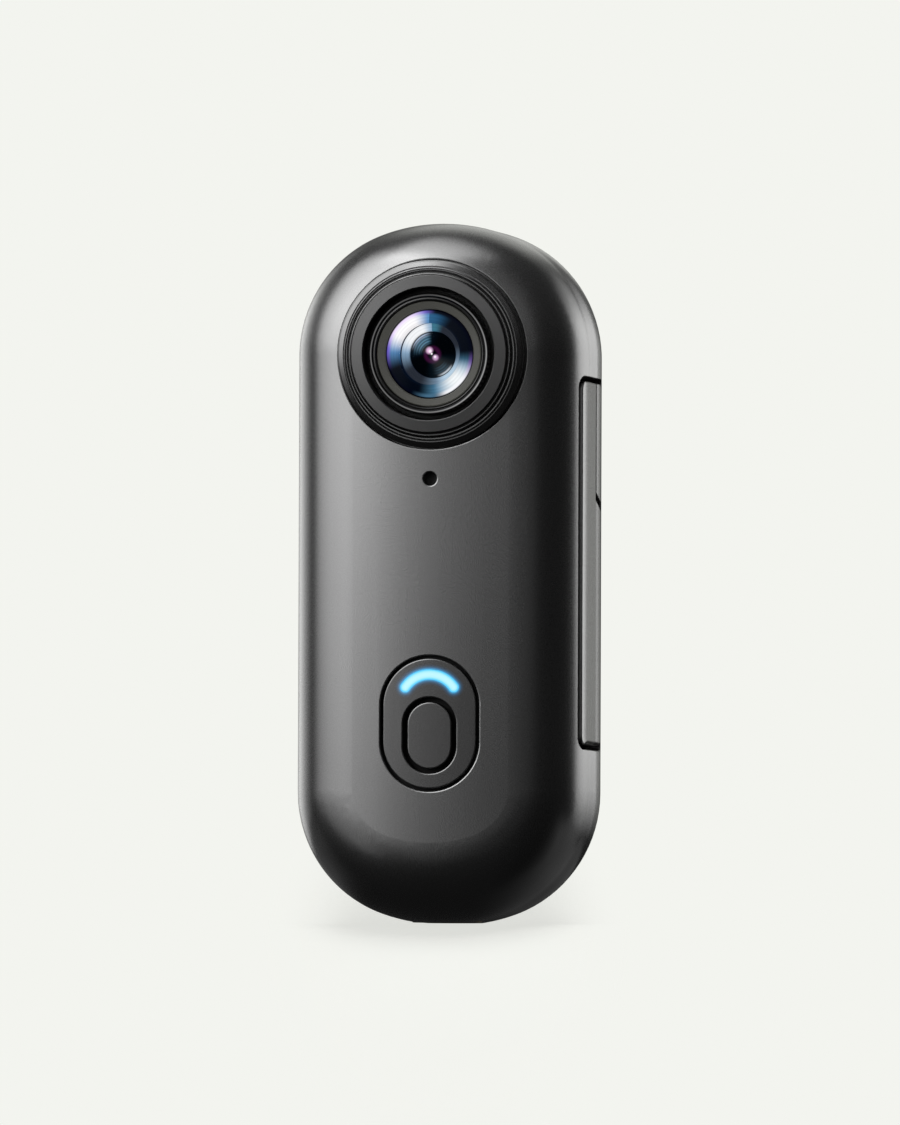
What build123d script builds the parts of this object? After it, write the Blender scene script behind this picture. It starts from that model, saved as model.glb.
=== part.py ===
from build123d import *
import math
import os
from functools import lru_cache

# A thumb-sized action camera. Millimetres, +Z up, the lens looks along -Y.
# The origin is the mouth of the tripod socket, in the middle of the bottom.

# Body: a tall capsule with a gently crowned face
HEIGHT = 62.0
WIDTH = 26.0
DEPTH = 20.0
END_R = 16.0
SHOULDER_R = 11.5
FOOT_CUT = 0.2
CROWN_R = 45.0
FRONT_EDGE_R = 7.1
REAR_EDGE_R = 6.0
WALL = 1.4
SEAM_Y = 6.2
BACK_Y = DEPTH / 2

# Rims of the outer surface are rounded this much; nothing outside this inset is inside the walls
RIM_R = 0.12
RIM_INSET = 0.16

# Lens, all turned about one axis at this height
LENS_Z = 50.15
BEZEL_R = 8.32
TRIM_R = 7.0
TRIM_BORE_R = 5.9
NOSE_R = 5.28
BARREL_R = 6.0
GLASS_R = 3.95
RING_SEAT_Y = -8.3
HOLDER_SIZE = 16.0

# Record key, its panel and the light above it
MIC_Z = 39.12
MIC_R = 0.6
PANEL_Z = 17.45
PANEL_POCKET = (8.88, 12.06)
PANEL_GROOVE = 0.27
PANEL_DEPTH = 0.9
KEY_Z = 16.4
KEY_SIZE = (3.94, 5.9)
KEY_GAP = 0.43
ARC_Z = 19.15
ARC_R = 2.65
ARC_WIDTH = 0.9
ARC_HALF_ANGLE = 55.0

# Side door on the right flank
DOOR_FRONT = -4.95
DOOR_BACK = 5.0
DOOR_LOW = 15.3
DOOR_HIGH = 48.35
DOOR_GAP = 0.42
DOOR_SIDE_GAP = 0.65
DOOR_CORNER_R = 1.15
DOOR_THICK = 1.0
HINGE_X = 12.1
HINGE_Z = 16.4
PIN_R = 0.25
PIN_PLAY = 0.03
LUG_R = 0.55
LUG_WIDTH = 1.0
LUG_Y = 2.9

# Release strip in the door's upper rear corner, and the bolt that it draws
STRIP_FRONT = 1.75
STRIP_LOW = 38.2
STRIP_SLOPE = 0.33
STRIP_GAP = 0.3
LATCH_Z = 42.5
WEDGE_C = 7.7
WEDGE_PLAY = 0.08

# Port bay behind the door
BAY_FLOOR_X = 7.4
BAY_MOUTH = (-3.5, 3.5, 18.2, 35.5)
BAY_UPPER = (-3.5, 0.1, 35.5, 41.7)
USB_Z = 24.0
USB_Y = -0.42
USB_SIZE = (7.3, 3.16, 8.94)
CARD_Y = -1.55
CARD_Z = 35.8
CARD_SIZE = (15.0, 1.0, 11.0)
CARD_OUT = 1.0
CARD_PUSH = 0.5

# Inside
BOARD_Y = (-0.8, 0.0)
BOARD_SCREWS = [(-9.4, 13.4), (-9.4, 40.2)]
FRONT_BOARD_Y = (-5.9, -5.3)
BATTERY = (-8.4, 6.2, 1.5, 7.3, 12.4, 43.0)
COVER_SCREWS = [(-3.4, 9.6), (3.4, 9.6), (-3.4, 52.4), (3.4, 52.4)]
PLATE_SIZE = (12.8, 49.2)
PLATE_THICK = 0.6
SOCKET_R = 2.58
SOCKET_DEPTH = 5.5
INSERT_R = 3.1
INSERT_HEAD_R = 3.88


def block(x0, x1, y0, y1, z0, z1):
    """A plain box between two corners."""
    middle = Pos((x0 + x1) / 2, (y0 + y1) / 2, (z0 + z1) / 2)
    return middle * Box(x1 - x0, y1 - y0, z1 - z0)


def slab(y0, y1):
    """Everything between two depths."""
    return block(-30, 30, y0, y1, -10, 80)


def along_y(sketch, y0, y1):
    """A sketch in X and Z, drawn out from y0 to y1."""
    return extrude(Plane.XZ.offset(-y1) * sketch, amount=y1 - y0)


def along_x(sketch, x0, x1):
    """A sketch in Y and Z, drawn out from x0 to x1."""
    return extrude(Plane.YZ.offset(x0) * sketch, amount=x1 - x0)


def rod_y(radius, y0, y1, x, z):
    return along_y(Pos(x, z) * Circle(radius), y0, y1)


def rod_x(radius, x0, x1, y, z):
    return along_x(Pos(y, z) * Circle(radius), x0, x1)


def rod_z(radius, z0, z1):
    return Pos(0, 0, z0) * extrude(Circle(radius), amount=z1 - z0)


def polygon(points):
    return make_face(Polyline(*points, close=True))


def turned(points):
    """A closed outline of (radius, y) points, turned about the lens axis."""
    return Pos(0, 0, LENS_Z) * revolve(polygon(points), Axis.Y)


def tube(outer_r, inner_r, y0, y1):
    """A plain ring on the lens axis."""
    return turned([(inner_r, y0), (outer_r, y0), (outer_r, y1), (inner_r, y1)])


def stadium(width, height):
    """An upright slot outline with round ends."""
    return SlotOverall(height, width, rotation=90)


def outline(inset):
    """The body seen from the front: straight flanks and three-centred ends."""
    half = WIDTH / 2
    rise = END_R - math.sqrt((END_R - SHOULDER_R) ** 2 - (half - SHOULDER_R) ** 2)
    turn = math.degrees(math.atan2(END_R - rise, half - SHOULDER_R))
    low = rise - FOOT_CUT
    high = HEIGHT - rise
    x = half - inset
    shoulder = SHOULDER_R - inset
    apex = END_R - inset
    right = Line((x, low), (x, high))
    top_right = JernArc(right @ 1, (0, 1), shoulder, turn)
    top = JernArc(top_right @ 1, top_right % 1, apex, 180 - 2 * turn)
    top_left = JernArc(top @ 1, top % 1, shoulder, turn)
    left = Line(top_left @ 1, (-x, low))
    foot_left = JernArc(left @ 1, (0, -1), shoulder, turn)
    foot = JernArc(foot_left @ 1, foot_left % 1, apex, 180 - 2 * turn)
    foot_right = JernArc(foot @ 1, foot % 1, shoulder, turn)
    return make_face([right, top_right, top, top_left, left, foot_left, foot, foot_right])


def rim_edges(solid, side):
    """The edges round the front (-1) or the rear (+1) face."""
    return [e for e in solid.edges() if abs((e % 0.5).Y) < 0.9 and side * e.center().Y > 0]


@lru_cache(maxsize=None)
def form(inset):
    """The solid body form, shrunk by an even inset on every side."""
    half_depth = DEPTH / 2 - inset
    prism = along_y(outline(inset), -half_depth, half_depth)
    crown = Pos(0, CROWN_R - DEPTH / 2, HEIGHT / 2) * Cylinder(CROWN_R - inset, 2 * HEIGHT)
    solid = prism & crown
    solid = fillet(rim_edges(solid, 1), REAR_EDGE_R - inset)
    return fillet(rim_edges(solid, -1), FRONT_EDGE_R - inset)


def skin(outer, inner):
    """The layer between two insets."""
    return form(outer) - form(inner)


def soften(solid, sketch, side, radius=RIM_R):
    """Round the outer edges that follow a sketch's outline, seen from the front or the right."""
    core = form(RIM_INSET)
    rim = []
    for edge in solid.edges():
        middle = edge @ 0.5
        across = middle.X if side == "front" else middle.Y
        outward = -middle.Y if side == "front" else middle.X
        spot = Vertex(across, middle.Z, 0)
        on_outline = min(wire.distance_to(spot) for wire in sketch.wires()) < 0.02
        if outward > 0 and on_outline and not core.is_inside(middle):
            rim.append(edge)
    return fillet(rim, radius)


def pocket_face():
    return Pos(0, PANEL_Z) * stadium(*PANEL_POCKET)


def panel_face():
    width, height = PANEL_POCKET
    return Pos(0, PANEL_Z) * stadium(width - 2 * PANEL_GROOVE, height - 2 * PANEL_GROOVE)


def key_face(grow=0.0):
    width, height = KEY_SIZE
    return Pos(0, KEY_Z) * stadium(width + 2 * grow, height + 2 * grow)


def mic_face():
    return Pos(0, MIC_Z) * Circle(MIC_R)


def lens_face(radius):
    return Pos(0, LENS_Z) * Circle(radius)


def arc_slot(width):
    """The arc-shaped light, open towards the key."""
    start = 90 - ARC_HALF_ANGLE
    path = CenterArc((0, ARC_Z), ARC_R, start, 2 * ARC_HALF_ANGLE)
    return SlotArc(path, width)


def door_hole():
    width = DOOR_BACK - DOOR_FRONT
    height = DOOR_HIGH - DOOR_LOW
    centre = Pos((DOOR_FRONT + DOOR_BACK) / 2, (DOOR_LOW + DOOR_HIGH) / 2)
    return centre * RectangleRounded(width, height, DOOR_CORNER_R)


def strip_zone(grow):
    """The corner that the release strip takes out of the door, with a gap round it."""
    front = STRIP_FRONT - grow
    low = STRIP_LOW - grow * 1.8
    back = DOOR_BACK + 1
    slope = STRIP_SLOPE * (back - front)
    return polygon([(front, low), (back, low - slope), (back, DOOR_HIGH + 1), (front, DOOR_HIGH + 1)])


def door_face():
    """The whole leaf, before the strip's corner is taken out of it."""
    front = DOOR_FRONT + DOOR_SIDE_GAP
    back = DOOR_BACK - DOOR_SIDE_GAP
    height = DOOR_HIGH - DOOR_LOW - 2 * DOOR_GAP
    centre = Pos((front + back) / 2, (DOOR_LOW + DOOR_HIGH) / 2)
    return centre * RectangleRounded(back - front, height, DOOR_CORNER_R - DOOR_GAP)


def hinge_rod(radius, y0, y1):
    return rod_y(radius, y0, y1, HINGE_X, HINGE_Z)


# Casing

def front_shell():
    shell = skin(0, WALL) & block(-20, 20, -20, SEAM_Y, 0, 80)
    collar = tube(9.1, TRIM_R + 0.4, -9.6, -6.4) & form(0.3)
    boss = rod_z(4.9, 0.5, 6.6) & slab(-5, 4.2) & form(0.3)
    shell = shell + collar + boss
    shell -= rod_y(BEZEL_R + 0.1, -12, RING_SEAT_Y, 0, LENS_Z)
    shell -= rod_y(TRIM_R + 0.4, -12, -6, 0, LENS_Z)
    shell -= along_y(mic_face(), -12, -8)
    shell -= along_y(pocket_face(), -12, -7) - form(PANEL_DEPTH)
    shell -= along_y(key_face(KEY_GAP), -12, -7)
    shell -= along_y(arc_slot(ARC_WIDTH + 0.1), -12, -7)
    shell -= along_x(door_hole(), 9, 15)
    shell -= rod_z(INSERT_R + 0.02, -1, 2)
    shell -= rod_z(INSERT_HEAD_R + 0.02, 1.6, 8)
    for z in (11.5, 13.5, 15.5, 17.5):
        shell -= rod_x(0.45, -15, -11, 2.6, z)
    for sketch in (pocket_face(), mic_face(), lens_face(BEZEL_R + 0.1)):
        shell = soften(shell, sketch, "front")
    return soften(shell, door_hole(), "right")


def rear_cover():
    cover = skin(0, WALL) & block(-20, 20, SEAM_Y, 20, 0, 80)
    lip = skin(WALL + 0.1, WALL + 0.9) & slab(4.8, SEAM_Y + 0.5)
    lip += skin(WALL - 0.3, WALL + 0.9) & slab(SEAM_Y, SEAM_Y + 1.0)
    cover += lip - block(6.2, 20, 0, SEAM_Y, 13.8, 49.5)
    for x, z in COVER_SCREWS:
        cover += rod_y(2.2, 7.8, BACK_Y - 1, x, z)
    middle = Pos(0, HEIGHT / 2)
    cover -= along_y(middle * stadium(*PLATE_SIZE), BACK_Y - PLATE_THICK, 12)
    for x, z in COVER_SCREWS:
        cover -= rod_y(0.75, 7, 12, x, z)
        cover -= rod_y(1.45, 8.75, 12, x, z)
    return cover


def cover_seal():
    ring = skin(WALL + 0.12, WALL + 0.9) & slab(4.3, 4.78)
    return ring - block(6.2, 20, 0, SEAM_Y, 13.8, 49.5)


def rear_plate():
    middle = Pos(0, HEIGHT / 2)
    return along_y(middle * stadium(PLATE_SIZE[0] - 0.12, PLATE_SIZE[1] - 0.12),
                   BACK_Y - PLATE_THICK, BACK_Y)


def cover_screws():
    screws = []
    for x, z in COVER_SCREWS:
        head = rod_y(1.35, 8.75, 9.35, x, z)
        shank = rod_y(0.7, 5.2, 8.75, x, z)
        drive = along_y(Pos(x, z) * RegularPolygon(0.45, 6), 9.05, 9.5)
        screws.append(head + shank - drive)
    return Compound(children=screws)


def tripod_insert():
    body = rod_z(INSERT_R, 0, 2) + rod_z(INSERT_HEAD_R, 1.65, 6.3)
    return body - rod_z(SOCKET_R, -1, SOCKET_DEPTH)


def inner_frame():
    band = skin(WALL + 0.2, WALL + 1.1) & block(-20, 20, -3.4, 4.2, 0, 43.9)
    plate = form(WALL + 0.2) & block(-20, 20, -3.4, -2.7, 8.0, 41.9)
    plate -= block(-8.2, -0.2, -4, -2, 12.6, 28.9)
    shelf = form(WALL + 0.2) & block(-20, 20, 3.5, 4.2, 43.2, 70)
    frame = band + plate + shelf
    for x, z in COVER_SCREWS[:2]:
        frame += rod_y(1.7, -3.4, 7.7, x, z)
    for x, z in COVER_SCREWS[2:]:
        frame += rod_y(1.7, 3.6, 7.7, x, z)
    for x, z in BOARD_SCREWS:
        frame += rod_y(1.3, -3.0, BOARD_Y[0], x, z)
    for x, z in COVER_SCREWS:
        frame -= rod_y(0.72, 5.0, 9, x, z)
    for x, z in BOARD_SCREWS:
        frame -= rod_y(0.52, -2.6, 0, x, z)
    frame -= block(6.3, 20, -8, 8, 13.8, 50)
    frame -= rod_z(5.1, -2, 6.8)
    frame -= block(-1.65, 1.65, -4, -2, 8.6, 12.2)
    return frame - block(-20, -8.0, 0.8, 8, 9.5, 20.5)


# Lens group, from the outside in

def lens_bezel():
    cone = [(BEZEL_R, RING_SEAT_Y - 0.03), (BEZEL_R, -9.98), (8.2, -10.08), (7.82, -10.32)]
    first_groove = [(7.8, -10.12), (7.72, -10.12), (7.69, -10.42), (7.6, -10.5)]
    second_groove = [(7.54, -10.26), (7.46, -10.26), (7.43, -10.42), (7.24, -10.78)]
    step = [(7.22, -10.66), (7.16, -10.66), (7.13, -10.88), (7.06, -10.94)]
    foot = [(7.06, RING_SEAT_Y - 0.03)]
    return turned(cone + first_groove + second_groove + step + foot)


def lens_trim_ring():
    back = -8.34
    front = -11.1
    edge = 0.09
    fall = 0.08
    return turned([(TRIM_R, back), (TRIM_R, front + fall + edge), (TRIM_R - edge, front + fall),
                   (TRIM_BORE_R + edge, front), (TRIM_BORE_R, front + edge), (TRIM_BORE_R, -9.1),
                   (BARREL_R + 0.08, -9.1), (BARREL_R + 0.08, back)])


def lens_barrel():
    nose = [(BARREL_R, -2.0), (BARREL_R, -9.0), (NOSE_R, -9.0), (NOSE_R, -10.94), (5.22, -11.0),
            (5.14, -11.0), (4.98, -10.82), (4.86, -10.86), (4.8, -10.84), (4.66, -10.62), (4.66, -9.9),
            (GLASS_R + 0.03, -9.9)]
    bore = [(GLASS_R + 0.03, -9.2), (3.0, -9.2), (3.0, -8.72), (3.4, -8.72), (3.4, -4.4), (2.7, -4.4),
            (2.7, -2.0)]
    return turned(nose + bore)


def lens_retaining_ring():
    return turned([(4.64, -9.9), (4.64, -10.68), (4.58, -10.74), (4.04, -10.62), (GLASS_R + 0.03, -10.54),
                   (GLASS_R + 0.03, -9.9)])


def ball(radius, apex_y, edge_y):
    """The sphere whose cap of this radius has its top at apex_y and its rim at edge_y."""
    height = abs(edge_y - apex_y)
    sphere_r = (radius ** 2 + height ** 2) / (2 * height)
    towards = 1 if edge_y > apex_y else -1
    return Pos(0, apex_y + towards * sphere_r, LENS_Z) * Sphere(sphere_r)


def front_lens():
    """A meniscus: domed outside, hollow inside."""
    blank = rod_y(GLASS_R, -12, -9.22, 0, LENS_Z) & ball(GLASS_R, -10.95, -10.28)
    return blank - ball(GLASS_R, -10.3, -9.22)


def lens_spacer():
    return turned([(3.38, -8.7), (2.9, -8.7), (2.76, -8.9), (2.16, -8.86), (2.08, -8.7), (2.08, -7.3),
                   (3.38, -7.3)])


def lens_element(radius, front_y, front_edge, back_edge, back_y):
    """A biconvex element, from its front apex to its back apex."""
    blank = rod_y(radius, front_y - 1, back_y + 1, 0, LENS_Z)
    return blank & ball(radius, front_y, front_edge) & ball(radius, back_y, back_edge)


def aperture_stop():
    return turned([(3.38, -7.25), (0.9, -7.25), (0.8, -7.15), (0.9, -7.05), (3.38, -7.05)])


def lens_holder():
    flange = along_y(Pos(0, LENS_Z) * RectangleRounded(HOLDER_SIZE, HOLDER_SIZE, 3.0), -3.6, -1.0)
    holder = flange & form(WALL + 1.2)
    holder += tube(7.2, BARREL_R, -8.3, -3.4)
    holder -= rod_y(BARREL_R + 0.04, -9, -1.95, 0, LENS_Z)
    return holder - block(-4.6, 4.6, -3, 0, LENS_Z - 4.6, LENS_Z + 4.6)


def lens_o_ring():
    section_r = (TRIM_BORE_R - NOSE_R) / 2 - 0.01
    return Pos(0, -9.32, LENS_Z) * Rot(90, 0, 0) * Torus((TRIM_BORE_R + NOSE_R) / 2, section_r)


def ir_filter():
    return block(-4.2, 4.2, -1.9, -1.6, LENS_Z - 4.2, LENS_Z + 4.2)


def image_sensor():
    package = block(-4.4, 4.4, -0.9, -0.2, LENS_Z - 4.0, LENS_Z + 4.0)
    return package - block(-3.3, 3.3, -1, -0.75, LENS_Z - 2.6, LENS_Z + 2.6)


def sensor_board():
    board = along_y(Pos(0, LENS_Z) * RectangleRounded(15.4, 15.0, 2.8), -0.2, 0.6)
    return (board & form(WALL + 1.3)) - block(-20, 20, -1, -0.1, 60, 70)


def sensor_flex():
    path = [(0.62, 48.2), (0.62, 42.6), (0.02, 41.2), (0.02, 37.5), (0.17, 37.5), (0.17, 41.14),
            (0.77, 42.54), (0.77, 48.2)]
    return along_x(polygon(path), -3.0, 3.0)


# Record key and its electronics

def button_panel():
    panel = skin(0.04, PANEL_DEPTH - 0.02) & along_y(panel_face(), -12, -7)
    panel -= along_y(key_face(KEY_GAP), -12, -7)
    panel = soften(panel, panel_face(), "front")
    panel = soften(panel, key_face(KEY_GAP), "front")
    return panel - along_y(arc_slot(ARC_WIDTH + 0.04), -12, -7)


def record_button():
    cap = form(0.1) & along_y(key_face(), -12, -8.1)
    cap = soften(cap, key_face(), "front")
    flange = along_y(Pos(0, KEY_Z) * stadium(5.5, 7.5), -8.3, -7.9)
    stem = rod_y(0.7, -7.9, -7.0, 0, KEY_Z)
    return cap + flange + stem


def button_seal():
    outer = Pos(0, KEY_Z) * stadium(6.5, 8.4)
    skirt = along_y(outer, -8.2, -7.2) - along_y(Pos(0, KEY_Z) * stadium(5.9, 7.8), -9, -7)
    web = along_y(outer, -7.5, -7.2) - rod_y(0.85, -9, -6, 0, KEY_Z)
    return skirt + web


def record_switch():
    body = block(-1.75, 1.75, -6.6, FRONT_BOARD_Y[0], KEY_Z - 1.45, KEY_Z + 1.45)
    return body - rod_y(0.75, -7, -6.15, 0, KEY_Z)


def switch_plunger():
    return rod_y(0.7, -7.0, -6.5, 0, KEY_Z)


def light_guide():
    return form(0.06) & along_y(arc_slot(ARC_WIDTH), -12, -6.7)


def status_leds():
    leds = []
    for angle in (-40, 0, 40):
        x = ARC_R * math.sin(math.radians(angle))
        z = ARC_Z + ARC_R * math.cos(math.radians(angle))
        leds.append(block(x - 0.5, x + 0.5, -6.5, FRONT_BOARD_Y[0], z - 0.3, z + 0.3))
    return Compound(children=leds)


def front_board():
    board = block(-5.6, 5.6, *FRONT_BOARD_Y, 9.5, 41.3)
    return fillet(board.edges().filter_by(Axis.Y), 0.8)


def microphone():
    can = block(-0.95, 0.95, -6.8, FRONT_BOARD_Y[0], MIC_Z - 1.4, MIC_Z + 1.4)
    return can - rod_y(0.3, -7, -6.6, 0, MIC_Z)


def mic_boot():
    return rod_y(1.3, -8.2, -6.82, 0, MIC_Z) - rod_y(MIC_R, -9, -6, 0, MIC_Z)


def mic_mesh():
    return rod_y(1.3, -8.5, -8.25, 0, MIC_Z)


def button_flex():
    path = [(-5.28, 11.6), (-5.28, 9.4), (-0.98, 9.4), (-0.98, 11.0), (-0.02, 11.0), (-0.02, 11.9),
            (-0.17, 11.9)]
    inner = [(-0.17, 11.15), (-1.13, 11.15), (-1.13, 9.55), (-5.13, 9.55), (-5.13, 11.6)]
    return along_x(polygon(path + inner), -1.4, 1.4)


# Boards, battery and the rest of the inside

def main_board():
    board = block(-10.4, 6.2, *BOARD_Y, 11.95, 41.5)
    board -= block(0.05, 8, -2, 1, USB_Z - 4.6, USB_Z + 4.6)
    for x, z in BOARD_SCREWS:
        board -= rod_y(0.55, -2, 1, x, z)
    return board


def board_screws():
    screws = []
    for x, z in BOARD_SCREWS:
        head = rod_y(0.95, 0, 0.55, x, z)
        shank = rod_y(0.5, -2.5, 0.1, x, z)
        screws.append(head + shank - along_y(Pos(x, z) * RegularPolygon(0.35, 6), 0.3, 1))
    return Compound(children=screws)


def processor():
    return block(-7.2, -1.2, -1.75, BOARD_Y[0], 16.0, 25.5)


def shield_can():
    can = block(-8.0, -0.4, -2.3, BOARD_Y[0], 14.0, 28.0)
    return can - block(-7.85, -0.55, -2.15, 0, 14.15, 27.85)


def heat_spreader():
    return block(-7.9, 5.6, -2.68, -2.32, 15.0, 29.2)


def battery():
    return fillet(block(*BATTERY).edges().filter_by(Axis.Z), 1.6)


def speaker():
    body = block(-11.3, -8.7, 1.0, 4.2, 9.8, 19.8)
    return fillet(body.edges().filter_by(Axis.X), 0.8) & form(WALL + 0.1)


def antenna():
    return skin(WALL + 0.05, WALL + 0.25) & block(-6.5, 6.5, -0.6, 3.2, 57, 62)


# Port bay behind the door

def bay_space(grow):
    """The open mouth of the bay, as a sketch in Y and Z."""
    rooms = []
    for y0, y1, z0, z1 in (BAY_MOUTH, BAY_UPPER):
        centre = Pos((y0 + y1) / 2, (z0 + z1) / 2)
        rooms.append(centre * Rectangle(y1 - y0 + 2 * grow, z1 - z0 + 2 * grow))
    return rooms[0] + rooms[1]


def latch_room():
    """The pocket for the bolt and the strip's wedge, open towards the door."""
    room = block(8.7, 14, 1.5, 5.2, LATCH_Z - 2.65, LATCH_Z + 2.65)
    hook_way = block(8.7, 14, 0.72, 1.6, LATCH_Z - 2.65, LATCH_Z - 1.0)
    return room + hook_way


def port_bay():
    flange = block(10.2, 14, -5.7, 5.6, 17.3, 49.1) & form(WALL + 0.05)
    block_in = block(6.6, 10.6, -4.3, 4.3, 17.4, 42.4)
    latch_block = block(8.0, 11.0, 0.4, 5.7, 36.4, 48.4) & form(WALL + 0.1)
    foot = block(9.6, 11.2, -5.2, 5.2, 14.4, 17.4) & form(WALL + 0.1)
    bay = flange + block_in + latch_block + foot
    bay -= along_x(bay_space(0), BAY_FLOOR_X, 14)
    bay -= block(11.2, 14, 1.35, 6, 36.6, 49.2)
    bay -= latch_room()
    bay -= rod_x(0.8, 9.2, 14, 3.1, 46.7)
    for y in (-LUG_Y, LUG_Y):
        arm = block(10.4, HINGE_X, y - LUG_WIDTH / 2, y + LUG_WIDTH / 2, HINGE_Z - 0.4, HINGE_Z + 0.4)
        bay += arm + hinge_rod(LUG_R, y - LUG_WIDTH / 2, y + LUG_WIDTH / 2)
    bay -= hinge_rod(PIN_R, -6, 6)
    height, width = USB_SIZE[1:]
    usb_slot = Pos(USB_Y, USB_Z) * stadium(height + 0.1, width + 0.1)
    bay -= along_x(usb_slot, 6, 8)
    card_slot = Pos(CARD_Y, CARD_Z) * Rectangle(CARD_SIZE[1] + 0.4, CARD_SIZE[2] + 0.4)
    return bay - along_x(card_slot, 6, 8)


def usb_socket():
    depth, height, width = USB_SIZE
    shell = along_x(Pos(USB_Y, USB_Z) * stadium(height, width), BAY_FLOOR_X - depth, BAY_FLOOR_X)
    mouth = along_x(Pos(USB_Y, USB_Z) * stadium(height - 0.6, width - 0.6), BAY_FLOOR_X - depth + 1, 9)
    tongue = block(BAY_FLOOR_X - depth + 0.5, BAY_FLOOR_X - 0.9, USB_Y - 0.35, USB_Y + 0.35,
                   USB_Z - 3.34, USB_Z + 3.34)
    return shell - mouth + tongue


def card_socket():
    inner_end = BAY_FLOOR_X + CARD_OUT - CARD_SIZE[0] - CARD_PUSH
    body = block(inner_end - 0.6, 6.55, CARD_Y - 0.7, BOARD_Y[0], CARD_Z - 6.0, 41.9)
    slot = block(inner_end - 0.25, 7, CARD_Y - 0.58, CARD_Y + 0.58, CARD_Z - 5.6, CARD_Z + 5.6)
    return body - slot


def memory_card():
    length, thick, width = CARD_SIZE
    end = BAY_FLOOR_X + CARD_OUT
    points = [(end - length, -width / 2), (end, -width / 2), (end, width / 2),
              (end - 7.2, width / 2), (end - 8.0, width / 2 - 1.3), (end - length, width / 2 - 1.3)]
    face = Plane.XZ.offset(-(CARD_Y + thick / 2)) * (Pos(0, CARD_Z) * polygon(points))
    card = extrude(face, amount=thick)
    return card + block(end - 1.3, end, CARD_Y - 0.68, CARD_Y, CARD_Z - 4, CARD_Z + 4)


def hinge_pin():
    return hinge_rod(PIN_R, -3.95, 3.95)


def side_door():
    leaf = skin(0, DOOR_THICK) & along_x(door_face(), 9, 15)
    rib = block(11.62, 12.6, -3.9, 3.9, 15.9, 17.1)
    door = leaf + rib - along_x(strip_zone(STRIP_GAP), 9, 15)
    door = soften(door, door_face(), "right")
    door = soften(door, strip_zone(STRIP_GAP), "right")
    lower = block(HINGE_X, 16, -8, 8, 14, HINGE_Z - 0.2)
    door -= lower - along_y(Pos(HINGE_X, HINGE_Z) * hinge_nose(), -8, 8)
    for y in (-LUG_Y, LUG_Y):
        y0 = y - LUG_WIDTH / 2 - 0.1
        y1 = y + LUG_WIDTH / 2 + 0.1
        door -= hinge_rod(LUG_R + 0.1, y0, y1)
        door -= block(10, HINGE_X, y0, y1, 14, HINGE_Z + 0.52)
        door -= block(10, HINGE_X + 0.52, y0, y1, 14, HINGE_Z)
    door -= hinge_rod(PIN_R + PIN_PLAY, -6, 4.0)
    hook = block(9.3, 12.2, 0.85, 1.42, LATCH_Z - 2.4, LATCH_Z - 1.15)
    hook -= block(9.85, 11.0, 0, 2, LATCH_Z - 2.6, LATCH_Z - 1.0)
    hook += block(9.3, 12.2, 0.85, 1.0, LATCH_Z - 2.4, LATCH_Z - 1.15)
    return door + (hook & form(0.3))


def hinge_nose():
    """The door's rounded lower edge, about the hinge axis."""
    reach = WIDTH / 2 - HINGE_X
    drop = HINGE_Z - DOOR_LOW - DOOR_GAP
    face = Pos(reach / 2, 0.5 - drop / 2) * Rectangle(reach, drop + 1.0)
    corner = face.vertices().sort_by(Axis.Y)[:2].sort_by(Axis.X)[-1]
    return fillet(corner, 0.45)


def door_gasket():
    ring = along_x(bay_space(0.62) - bay_space(0.12), 9, 14)
    return ring & skin(DOOR_THICK, WALL + 0.02)


def door_release():
    strip = skin(0, DOOR_THICK) & along_x(door_face(), 9, 15)
    strip = strip & along_x(strip_zone(0), 9, 15)
    strip = soften(strip, door_face(), "right")
    strip = soften(strip, strip_zone(0), "right")
    stem = block(9.5, 12.3, 1.9, 3.1, LATCH_Z - 1.1, LATCH_Z + 1.1)
    beyond = polygon([(8, 8 - WEDGE_C), (8, 6), (6 + WEDGE_C, 6)])
    wedge_cut = Pos(0, 0, LATCH_Z - 2) * extrude(beyond, amount=4)
    return strip + (stem - wedge_cut)


def latch_bolt():
    low = LATCH_Z - 2.5
    high = LATCH_Z + 2.5
    bar = block(9.3, 10.9, 3.2, 4.3, low, high)
    lower_arm = block(10.0, 10.9, 1.52, 3.3, low, LATCH_Z - 1.2)
    upper_arm = block(9.3, 10.9, 1.6, 3.3, LATCH_Z + 1.2, high)
    wedge = block(9.3, 10.9, 1.7, 3.3, LATCH_Z - 1.2, LATCH_Z + 1.2)
    bolt = bar + lower_arm + upper_arm + wedge
    line = WEDGE_C - WEDGE_PLAY * math.sqrt(2)
    side = polygon([(1 + line, 1), (14, 1), (14, 14 - line)])
    room = Pos(0, 0, LATCH_Z - 1.2) * extrude(side, amount=2.4)
    return bolt - room


def release_spring():
    return rod_x(0.6, 9.2, 11.95, 3.1, 46.7)


def bolt_spring():
    return rod_y(0.6, 4.32, 5.18, 10.1, LATCH_Z)


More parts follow.
